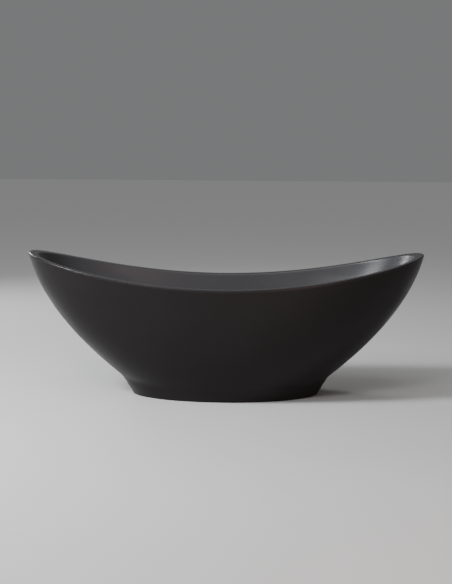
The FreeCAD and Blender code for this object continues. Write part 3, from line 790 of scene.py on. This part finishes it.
@dataclass
class BowlSkin:
    """The inner skin: rim, bowl, waste seat and the bowl's underside."""

    form: HullForm
    rim_width: float = 0.040
    rim_thick: float = 0.012
    outer_round: float = 0.005
    inner_round: float = 0.008
    floor: float = 0.135
    roll: float = 0.090
    skin: float = 0.008
    side_skin: float = 0.009
    belly: float = 0.035
    seat: tuple[float, float] = (0.036, 0.005)
    waste_hole: float = 0.026
    lip_foot: float = 0.0012
    round_rows: tuple[int, int] = (7, 8)
    top_rows: int = 6
    wall_rows: int = 34
    back_rows: int = 14
    bend_rows: int = 12
    floor_rows: int = 8
    under_rows: int = 4
    rows: list[tuple] = field(default_factory=list)
    angle: Array = field(init=False)

    def gap(self, z: Array) -> Array:
        """From the hull in to the bowl's face at a height."""
        share = (self.form.end_height - z) / (self.form.end_height - self.floor)
        return self.rim_width + self.belly * np.maximum(0, share)

    def face(self, angle: Array, z: Array, outset: float = 0.0, roll: object = 0.0) -> Array:
        """The bowl's wall at a height, out by outset and in by roll.

        Args:
            angle: directions.
            z: heights.
            outset: how far behind the face.
            roll: how far inside it.

        Returns:
            Distances from the axis.
        """
        inward = self.gap(z) - outset + roll
        form = self.form
        return form.reach(angle, form.long(z) - inward, form.wide(z) - inward, form.full(z))

    def add(self, r: Array, z: Array) -> None:
        """Adds a row of points."""
        self.rows.append((r, z + np.zeros_like(r)))

    def slopes(self, r: Array, z: Array, wall: Callable) -> tuple[Array, Array]:
        """Unit directions in each column's plane: in along the rim's top, and down a wall.

        Args:
            r: the corner's distances.
            z: its heights.
            wall: the wall, as distance by direction and height.

        Returns:
            The two directions, each as across and up.
        """
        step, along = 0.002, np.cos(self.angle)
        tilt = (self.form.rise(r * along) - self.form.rise((r - step) * along)) / step
        lean = (wall(self.angle, z) - wall(self.angle, z - step)) / step
        inward = np.stack((-np.ones_like(tilt), -tilt))
        down = np.stack((-lean, -np.ones_like(lean)))
        return inward / np.linalg.norm(inward, axis=0), down / np.linalg.norm(down, axis=0)

    def lay_round(self, corner: Array, first: Array, last: Array, radius: float,
                  count: int) -> Array:
        """Rows round a corner of the rim, tangent to both of its faces.

        Args:
            corner: distance and height of the sharp corner in each column.
            first: unit direction from the corner along the face that the round leaves.
            last: unit direction along the face that it reaches.
            radius: the round's radius.
            count: how many rows it takes.

        Returns:
            The point where the round ends in each column.
        """
        opening = np.arccos(np.clip((first * last).sum(0), -1, 1))
        reach = radius / np.tan(opening / 2)
        start, stop, weight = corner + reach * first, corner + reach * last, np.sin(opening / 2)
        for i in range(count + 1):
            s = i / count
            u = 1 - s
            share = u * u + 2 * s * u * weight + s * s
            spot = (u * u * start + 2 * s * u * weight * corner + s * s * stop) / share
            self.add(spot[0], spot[1])
        return stop

    def lay_rim(self) -> Array:
        """Rows up the lip, round its edge, across the rim and over into the bowl.

        Returns:
            The height at which the wall starts in each column.
        """
        form, angle = self.form, self.angle
        edge, crest = form.rim_point(angle, 0.0, form.hull)
        for drop in (self.rim_thick, self.rim_thick - self.lip_foot):
            self.add(form.hull(angle, crest - drop), crest - drop)
        inward, down = self.slopes(edge, crest, form.hull)
        start = self.lay_round(np.stack((edge, crest)), down, inward, self.outer_round,
                               self.round_rows[0])
        lip, brow = form.rim_point(angle, 0.0, self.face)
        inward, down = self.slopes(lip, brow, self.face)
        opening = np.arccos(np.clip((-inward * down).sum(0), -1, 1))
        stop = lip + self.inner_round / np.tan(opening / 2) * -inward[0]
        for i in range(1, self.top_rows):
            r = start[0] + (stop - start[0]) * i / self.top_rows
            self.add(r, form.rise(r * np.cos(angle)))
        ending = self.lay_round(np.stack((lip, brow)), -inward, down, self.inner_round,
                                self.round_rows[1])
        return ending[1]

    def lay_wall(self, start: Array, floor: float, roll: float, outset: float, rows: int) -> None:
        """Rows down a wall and round into a floor.

        Args:
            start: height of the wall's top in each.
            floor: the floor's height.
            roll: radius of the turn into the floor.
            outset: how far behind the bowl's face.
            rows: how many rows the wall takes.
        """
        bend = floor + roll
        for i in range(1, rows + 1):
            z = start + (bend - start) * i / rows
            self.add(self.face(self.angle, z, outset), z)
        for i in range(1, self.bend_rows + 1):
            phi = math.pi / 2 * i / self.bend_rows
            z = np.full_like(self.angle, bend - roll * math.sin(phi))
            self.add(self.face(self.angle, z, outset, roll * (1 - math.cos(phi))), z)

    def lay_floor(self) -> None:
        """Rows in to the waste's seat, down its step and through the hole."""
        boundary = self.rows[-1][0]
        seat_r, seat_deep = self.seat
        for i in range(1, self.floor_rows + 1):
            self.add(boundary + (seat_r - boundary) * i / self.floor_rows, self.floor)
        for r, deep in ((seat_r, seat_deep), (self.waste_hole, seat_deep), (self.waste_hole, self.skin)):
            self.add(np.full_like(boundary, r), self.floor - deep)

    def lay_underside(self) -> None:
        """Rows under the bowl, up its back and out under the rim to the lip."""
        form, floor, roll = self.form, self.floor - self.skin, self.roll + self.skin
        behind = partial(self.face, outset=self.side_skin)
        back, under = form.rim_point(self.angle, self.rim_thick, behind)
        kept, self.rows = self.rows, []
        self.add(back, under)
        self.lay_wall(under, floor, roll, self.side_skin, self.back_rows)
        for i in range(1, self.under_rows):
            inner = self.rows[-1][0]
            self.add(inner + (self.waste_hole - inner) * i / self.under_rows, floor)
        climb, self.rows = self.rows[::-1], kept
        self.rows += climb

    def build(self) -> Object:
        """Forms the closed skin, with a waste hole and none where the overflow's cover stands.

        Returns:
            The skin.
        """
        self.angle = self.form.angles()
        start = self.lay_rim()
        self.lay_wall(start, self.floor, self.roll, 0.0, self.wall_rows)
        self.lay_floor()
        self.lay_underside()
        skin = formed("rim_and_bowl", np.array([r for r, _ in self.rows]),
                      np.array([z for _, z in self.rows]), self.angle)
        smoothed(skin, 40)
        return skin


# ---- fittings

@dataclass
class Fittings:
    """The chromed pieces: plug, and the overflow's cover on the near wall."""

    steps: int = 96
    cover_radius: float = 0.033
    cover_deep: float = 0.009
    cover_wall: float = 0.002
    cover_lift: float = 0.0035
    crown_start: float = 0.87

    def plug(self) -> Object:
        """The plug's cap: rolled edge, a turned groove and a low crown.

        Returns:
            The cap.
        """
        low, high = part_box("plug_cap")
        r, z, top = (high.x - low.x) / 2, low.z, high.z - low.z
        edge = ((0, 0), (0.90, 0), (0.955, 0.05), (0.988, 0.15), (1, 0.22), (0.995, 0.32), (0.975, 0.42),
                (0.93, 0.5), (0.915, 0.44), (0.90, 0.44), (0.885, 0.54))
        crown = [(s, 0.56 + 0.44 * (1 - (s / self.crown_start) ** 2)) for s in
                 (self.crown_start, 0.8, 0.7, 0.58, 0.45, 0.32, 0.2, 0.1, 0.0)]
        profile = [(r * across, z + top * up) for across, up in (*edge, *crown)]
        cap = turned("plug_crown", profile, self.steps)
        smoothed(cap, 35)
        return cap

    def overflow(self, tilt: float, point: Sequence[float]) -> Object:
        """The overflow's cover: a shallow dished cap that stands off the wall.

        Args:
            tilt: turn about X that brings Z onto the overflow's axis.
            point: where the axis meets the bowl.

        Returns:
            The cover.
        """
        r, deep, wall, lift = self.cover_radius, self.cover_deep, self.cover_wall, self.cover_lift
        face = ((0, 0.0012), (0.35, 0.0011), (0.6, 0.0006), (0.78, 0.0001), (0.86, 0), (0.93, 0.0004),
                (0.975, 0.0013), (1, 0.003))
        profile = [(r * across, deep - dish) for across, dish in face]
        profile += [(r, lift + 0.0006), (r - 0.0005, lift), (r - wall, lift), (r - wall, deep - 0.0032),
                    (r - 2 * wall, deep - wall - 0.0012), (0, deep - wall - 0.0012)]
        cover = turned("overflow_rose", profile, self.steps)
        smoothed(cover, 35)
        put_at(cover, point, tilt)
        return cover


@dataclass
class OverflowSeat:
    """Where the overflow's axis meets the near wall, looking up and in."""

    bowl: BowlSkin
    height: float = 0.450
    lean: float = 7.0
    seal: float = 0.003
    elbow_deep: float = 0.026

    @property
    def point(self) -> Vector:
        """The point on the bowl's face."""
        z = np.array([self.height])
        return Vector((0, -float((self.bowl.form.wide(z) - self.bowl.gap(z))[0]), self.height))

    @property
    def tilt(self) -> float:
        """The turn about X that brings Z onto the axis."""
        return math.radians(self.lean - 90)

    def along(self, axis: Sequence[float]) -> Vector:
        """A direction given beside the axis, in the tub's frame."""
        return Matrix.Rotation(self.tilt, 3, "X") @ Vector(axis)

    @property
    def elbow(self) -> Vector:
        """The centre of the elbow's chamber."""
        return self.point - self.along((0, 0, self.bowl.side_skin + self.seal + self.elbow_deep / 2))


@dataclass
class RibbedHose:
    """The overflow's hose: a corrugated tube along its route, between its two union nuts."""

    seat: OverflowSeat
    port_z: float = 0.068
    port_end: float = 0.066
    lap: float = 0.016
    drop: float = 0.058
    lead: float = 0.045
    outer: float = 0.013
    bore: float = 0.0102
    least_wall: float = 0.0006
    pitch: float = 0.0052
    wave: tuple = ((0.0, 0.80), (0.16, 0.93), (0.3, 1.0), (0.55, 1.0), (0.72, 0.93), (0.88, 0.80))
    sides: int = 24

    @property
    def route(self) -> list[Vector]:
        """The hose's points: down between the skins, under the front rail and into the side port.

        Returns:
            The points, from the upper end to the lower.
        """
        way, z = self.seat.along((0, 1, 0)), self.port_z
        start = self.seat.elbow + way * (self.drop - self.lap)
        bends = ((-0.351, 0.290), (-0.322, 0.200), (-0.278, 0.119), (-0.214, z + 0.009),
                 (-0.130, z + 0.0005))
        return [start, start + way * self.lead, *(Vector((0, y, height)) for y, height in bends),
                Vector((0, self.lap - self.port_end, z))]

    def path(self) -> Object:
        """The hose's centre line: a smooth spline that the route's points lead.

        Returns:
            The curve's object.
        """
        curve = bpy.data.curves.new("hose_line", "CURVE")
        curve.dimensions = "3D"
        curve.resolution_u = 24
        spline = curve.splines.new("NURBS")
        spline.points.add(len(self.route) - 1)
        for spot, place in zip(spline.points, self.route):
            spot.co = (*place, 1.0)
        spline.order_u = 3
        spline.use_endpoint_u = True
        line = bpy.data.objects.new("hose_line", curve)
        bpy.context.scene.collection.objects.link(line)
        return line

    def build(self) -> Object:
        """Makes the straight ribbed tube along X and bends it along the line.

        Returns:
            The hose.
        """
        line = self.path()
        bpy.context.view_layer.update()
        drawn = bpy.data.meshes.new_from_object(line)
        spots = [v.co.copy() for v in drawn.vertices]
        length = sum((b - a).length for a, b in zip(spots, spots[1:]))
        bpy.data.meshes.remove(drawn)
        ribs = int(length / self.pitch)
        pitch = length / ribs
        valley = self.wave[0][1]
        profile = [(self.bore, 0.0)]
        for i in range(ribs):
            profile += [(max(self.outer * size, self.bore + self.least_wall), (i + share) * pitch)
                        for share, size in self.wave]
        profile += [(self.outer * valley, length), (self.bore, length)]
        profile += [(self.bore, (ribs - i) * pitch) for i in range(2, ribs, 2)]
        hose = turned("ribbed_hose", profile, self.sides)
        hose.data.transform(Matrix.Rotation(math.pi / 2, 4, "Y"))
        apply_modifier(hose, "CURVE", object=line, deform_axis="POS_X")
        bpy.data.objects.remove(line)
        smoothed(hose, 60)
        return hose


@dataclass
class HoseNut:
    """A knurled union nut."""

    radius: float = 0.0155
    bore: float = 0.0131
    long: float = 0.015
    low: float = 0.001
    chamfer: float = 0.0008
    band: float = 0.0018
    root_share: float = 0.95
    knurls: int = 30

    def build(self, name: str, way: Vector, point: Vector) -> Object:
        """Turns the nut, pushes out its knurls and sets it on the hose's end.

        Args:
            name: the piece's name.
            way: direction of the hose as it leaves the nut.
            point: where the nut starts.

        Returns:
            The nut.
        """
        steps = self.knurls * 3
        r, z0, z1, cut, band = self.radius * self.root_share, self.low, self.long, self.chamfer, self.band
        nut = turned(name, [(self.bore, z0), (r - cut, z0), (r, z0 + cut), (r, z0 + band), (r, z1 - band),
                            (r, z1 - cut), (r - cut, z1), (self.bore, z1)], steps)
        take(nut)
        for face in nut.data.polygons:
            middle = face.center
            turn = math.degrees(math.atan2(middle.y, middle.x)) % (360 / self.knurls)
            on_side = math.hypot(middle.x, middle.y) > r * 0.99 and z0 + band < middle.z < z1 - band
            face.select = on_side and turn < 240 / self.knurls
        enter("EDIT")
        bpy.ops.mesh.select_mode(type="FACE")
        bpy.ops.mesh.extrude_region_move()
        share = self.radius / r
        bpy.ops.transform.resize(value=(share, share, 1), center_override=(0, 0, 0))
        enter("OBJECT")
        smoothed(nut, 30)
        turn_to = Vector((0, 0, 1)).rotation_difference(way).to_matrix().to_4x4()
        nut.data.transform(Matrix.Translation(point) @ turn_to)
        return nut


@dataclass
class LevellingLeg:
    """One levelling leg: a stud with a cut thread and a ribbed swivel pad."""

    pitch: float = 0.00175
    radius: float = 0.006
    depth: float = 0.00065
    collar: tuple[float, float] = (0.0105, 0.010)
    collar_low: float = 0.016
    neck_top: float = 0.0142
    ball: float = 0.008
    ball_height: float = 0.008
    pad_neck: float = 0.013
    pad_floor: float = 0.0033
    fin: tuple[float, float, float] = (0.009, 0.0012, 0.0016)
    fin_place: tuple[float, float, float] = (0.0158, 0, 0.0052)
    fin_slope: float = 29.0
    ribs: int = 12

    @staticmethod
    def middle(node: str) -> tuple[float, float]:
        """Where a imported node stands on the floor."""
        low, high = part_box(node)
        return (low.x + high.x) / 2, (low.y + high.y) / 2

    def thread(self, low: float, high: float) -> Object:
        """The threaded length, from a V that is screwed up the axis.

        Args:
            low: where it starts.
            high: where it ends.

        Returns:
            The thread.
        """
        clear_selection()
        bpy.ops.mesh.primitive_circle_add(vertices=3, radius=self.pitch)
        cut = started("thread")
        points = ((self.radius - self.depth, 0, 0), (self.radius, 0, self.pitch / 2),
                  (self.radius - self.depth, 0, self.pitch))
        for vertex, point in zip(cut.data.vertices, points):
            vertex.co = point
        take(cut)
        enter("EDIT")
        bpy.ops.mesh.select_mode(type="EDGE")
        bpy.ops.mesh.select_all(action="DESELECT")
        enter("OBJECT")
        for edge in cut.data.edges:
            ends = {round(cut.data.vertices[i].co.z, 6) for i in edge.vertices}
            edge.select = ends == {0.0, round(self.pitch, 6)}
        enter("EDIT")
        bpy.ops.mesh.delete(type="EDGE_FACE")
        enter("OBJECT")
        turns = int((high - low) / self.pitch) - 1
        apply_modifier(cut, "SCREW", angle=2 * math.pi, screw_offset=self.pitch, iterations=turns, steps=24,
                       render_steps=24, axis="Z", use_merge_vertices=True, merge_threshold=MERGE)
        closed_up(cut)
        put_at(cut, (0, 0, low))
        return cut

    def stud(self, name: str, node: str) -> Object:
        """The whole stud: ball, hexagonal collar, thread and chamfered tip.

        Args:
            name: the piece's name.
            node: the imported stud.

        Returns:
            The stud.
        """
        low, high = (corner.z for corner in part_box(node))
        core, b, centre = self.radius - self.depth, self.ball, self.ball_height
        shank = turned("shank", [(0, low), (b * 0.8, low), (b * 0.97, low + 0.0025), (b, centre),
                                 (b * 0.97, centre + 0.002), (b * 0.8, centre + 0.0044),
                                 (core, self.neck_top), (core, high - 0.0012), (core - 0.001, high),
                                 (0, high)], 32)
        corner, tall = self.collar
        thread = self.thread(self.collar_low + tall, high)
        clear_selection()
        bpy.ops.mesh.primitive_cylinder_add(vertices=6, radius=corner, depth=tall,
                                            location=(0, 0, self.collar_low + tall / 2),
                                            rotation=(0, 0, math.pi / 6))
        collar = started("collar")
        bpy.ops.object.transform_apply(location=True, rotation=True, scale=True)
        apply_modifier(collar, "BEVEL", width=0.0007, segments=2, limit_method="ANGLE")
        stud = joined(name, [shank, thread, collar])
        smoothed(stud, 35)
        put_at(stud, (*self.middle(node), 0))
        return stud

    def pad(self, name: str, node: str) -> Object:
        """The pad: ribbed skirt, grooved sole and the collar round the ball.

        Args:
            name: the piece's name.
            node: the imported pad.

        Returns:
            The pad.
        """
        low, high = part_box(node)
        r, top, neck, hollow = (high.x - low.x) / 2, high.z, self.pad_neck, self.ball + 0.0003
        profile = [(0, 0.0006), (r * 0.45, 0.0006), (r * 0.5, 0.0), (r * 0.62, 0.0), (r * 0.66, 0.0006),
                   (r * 0.74, 0.0006), (r * 0.78, 0.0), (r - 0.001, 0.0), (r, 0.001), (r, 0.0028),
                   (r - 0.0012, 0.0036), (neck, 0.0078), (neck - 0.0006, top - 0.0006), (neck - 0.0012, top),
                   (hollow * 0.87, top), (hollow, self.ball_height + 0.0003),
                   (hollow, self.ball_height - 0.0003), (hollow * 0.8, self.pad_floor), (0, self.pad_floor)]
        body = turned("pad_body", profile, 48)
        leant = Matrix.Translation(self.fin_place) @ Matrix.Rotation(math.radians(self.fin_slope), 4, "Y")
        fins = []
        for i in range(self.ribs):
            clear_selection()
            bpy.ops.mesh.primitive_cube_add(size=1.0)
            fin = started("fin")
            turn = Matrix.Rotation(2 * math.pi * i / self.ribs, 4, "Z")
            fin.data.transform(turn @ leant @ Matrix.Diagonal((*self.fin, 1)))
            fins.append(fin)
        pad = joined(name, [body, *fins])
        smoothed(pad, 35)
        put_at(pad, (*self.middle(node), 0))
        return pad


# ---- studio

@dataclass(frozen=True)
class SoftBox:
    """A rectangular soft light aimed at a point."""

    name: str
    place: Sequence[float]
    aim: Sequence[float]
    size: tuple[float, float]
    power: float
    tint: Colour = (1.0, 1.0, 1.0)

    def hang(self) -> None:
        """Adds the light to the scene."""
        light = bpy.data.lights.new(self.name, "AREA")
        light.shape = "RECTANGLE"
        light.size, light.size_y = self.size
        light.energy = self.power
        light.color = self.tint
        lamp = bpy.data.objects.new(self.name, light)
        lamp.location = self.place
        way = Vector(self.aim) - Vector(self.place)
        lamp.rotation_euler = way.to_track_quat("-Z", "Y").to_euler()
        bpy.context.scene.collection.objects.link(lamp)


@dataclass
class Studio:
    """Floor, lights and camera. Angles are degrees."""

    floor_side: float = 60.0
    floor_colour: Colour = (0.50, 0.50, 0.495)
    boxes: tuple = (
        SoftBox("key", (-3.2, -1.8, 3.2), (-0.3, 0, 0.4), (1.1, 1.1), 340.0, (0.96, 0.97, 1.0)),
        SoftBox("front", (-1.3, -4.0, 3.4), (-0.2, 0, 0.3), (1.4, 1.0), 60.0),
        SoftBox("rear", (-2.6, 3.6, 2.3), (0.0, 0, 0.4), (1.6, 1.0), 90.0),
        SoftBox("warm", (1.6, -4.2, 0.9), (0.3, 0, 0.3), (1.2, 1.0), 26.0, (1.0, 0.58, 0.44)))
    wash_power: float = 0.95
    wash_spread: float = 60.0
    wash_turn: tuple[float, float] = (30.0, -20.0)
    air_colour: Colour = (0.86, 0.87, 0.88)
    air_power: float = 0.22
    distance: float = 6.5
    eye: float = 1.1847
    lens: float = 88.0
    sensor: float = 36.0
    pitch: float = 6.32
    roll: float = 0.46

    def floor(self) -> None:
        """The plain pale floor."""
        clear_selection()
        bpy.ops.mesh.primitive_plane_add(size=self.floor_side)
        plane = started("floor")
        plane.data.materials.append(Stage("pale floor", self.floor_colour).make())

    def lights(self) -> None:
        """Soft boxes left, front, rear and low right, over a wide wash for the floor."""
        for box in self.boxes:
            box.hang()
        sun = bpy.data.lights.new("floor_wash", "SUN")
        sun.energy, sun.angle = self.wash_power, math.radians(self.wash_spread)
        lamp = bpy.data.objects.new("floor_wash", sun)
        lamp.rotation_euler = (*(math.radians(turn) for turn in self.wash_turn), 0)
        bpy.context.scene.collection.objects.link(lamp)
        world = bpy.data.worlds.new("studio")
        world.use_nodes = True
        back = next(n for n in world.node_tree.nodes if n.type == "BACKGROUND")
        back.inputs["Color"].default_value = (*self.air_colour, 1.0)
        back.inputs["Strength"].default_value = self.air_power
        bpy.context.scene.world = world

    def camera(self) -> None:
        """The camera, above the rim, looking down across the tub."""
        data = bpy.data.cameras.new("camera")
        data.lens = self.lens
        data.sensor_width = self.sensor
        eye = bpy.data.objects.new("camera", data)
        tip = Matrix.Rotation(math.radians(90 - self.pitch), 4, "X")
        roll = Matrix.Rotation(math.radians(self.roll), 4, "Z")
        eye.matrix_world = Matrix.Translation((0.0, -self.distance, self.eye)) @ tip @ roll
        bpy.context.scene.collection.objects.link(eye)
        bpy.context.scene.camera = eye

    def build(self) -> None:
        """Sets the whole stage."""
        self.floor()
        self.lights()
        self.camera()


def carried_over(registry: Registry) -> None:
    """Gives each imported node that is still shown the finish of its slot.

    Args:
        registry: which nodes are replaced.
    """
    slots = {part["node"]: part["material_slot"] for part in frame["record"]["subparts"]}
    by_slot = {finish.slot: finish for finish in Finish}
    for name, obj in frame["nodes"].items():
        if name in registry.replaced:
            continue
        material = material_of(by_slot[slots[name]])
        if not obj.data.materials:
            obj.data.materials.append(material)
        for index in range(len(obj.material_slots)):
            obj.material_slots[index].material = material
        log.info("%s: packed shape, as %s", name, slots[name])


def main() -> None:
    """Builds the sub-assemblies in order."""
    logging.basicConfig(level=logging.INFO, format="%(name)s %(message)s")
    registry = Registry()
    Studio().build()
    form = HullForm()
    registry.seat(OuterSkin(form).build(), "tub", Finish.OUTER_SKIN, "outer_shell")
    registry.seat(BowlSkin(form).build(), "tub", Finish.BOWL_SKIN, "inner_shell")
    fittings = Fittings()
    registry.seat(fittings.plug(), "plug", Finish.CHROME, "plug_cap")
    leg = LevellingLeg()
    for i in range(1, LEGS + 1):
        stud, pad = f"leg_{i}_stud", f"leg_{i}_pad"
        registry.seat(leg.stud(f"threaded_stud_{i}", stud), f"leg_{i}_screw", Finish.THREAD, stud)
        registry.seat(leg.pad(f"swivel_pad_{i}", pad), f"leg_{i}_foot", Finish.PADS, pad)
    seat = OverflowSeat(BowlSkin(form))
    registry.seat(fittings.overflow(seat.tilt, seat.point), "tub", Finish.CHROME, "overflow_cover")
    hose = RibbedHose(seat)
    registry.seat(hose.build(), "tub", Finish.HOSE, "overflow_hose")
    nut, route = HoseNut(), hose.route
    registry.seat(nut.build("knurled_nut_upper", (route[1] - route[0]).normalized(), route[0]), "tub",
                  Finish.HOSE_NUTS, "hose_nut_upper")
    registry.seat(nut.build("knurled_nut_lower", Vector((0, -1, 0)), route[-1]), "tub",
                  Finish.HOSE_NUTS, "hose_nut_lower")
    carried_over(registry)


if __name__ == "__main__":
    main()
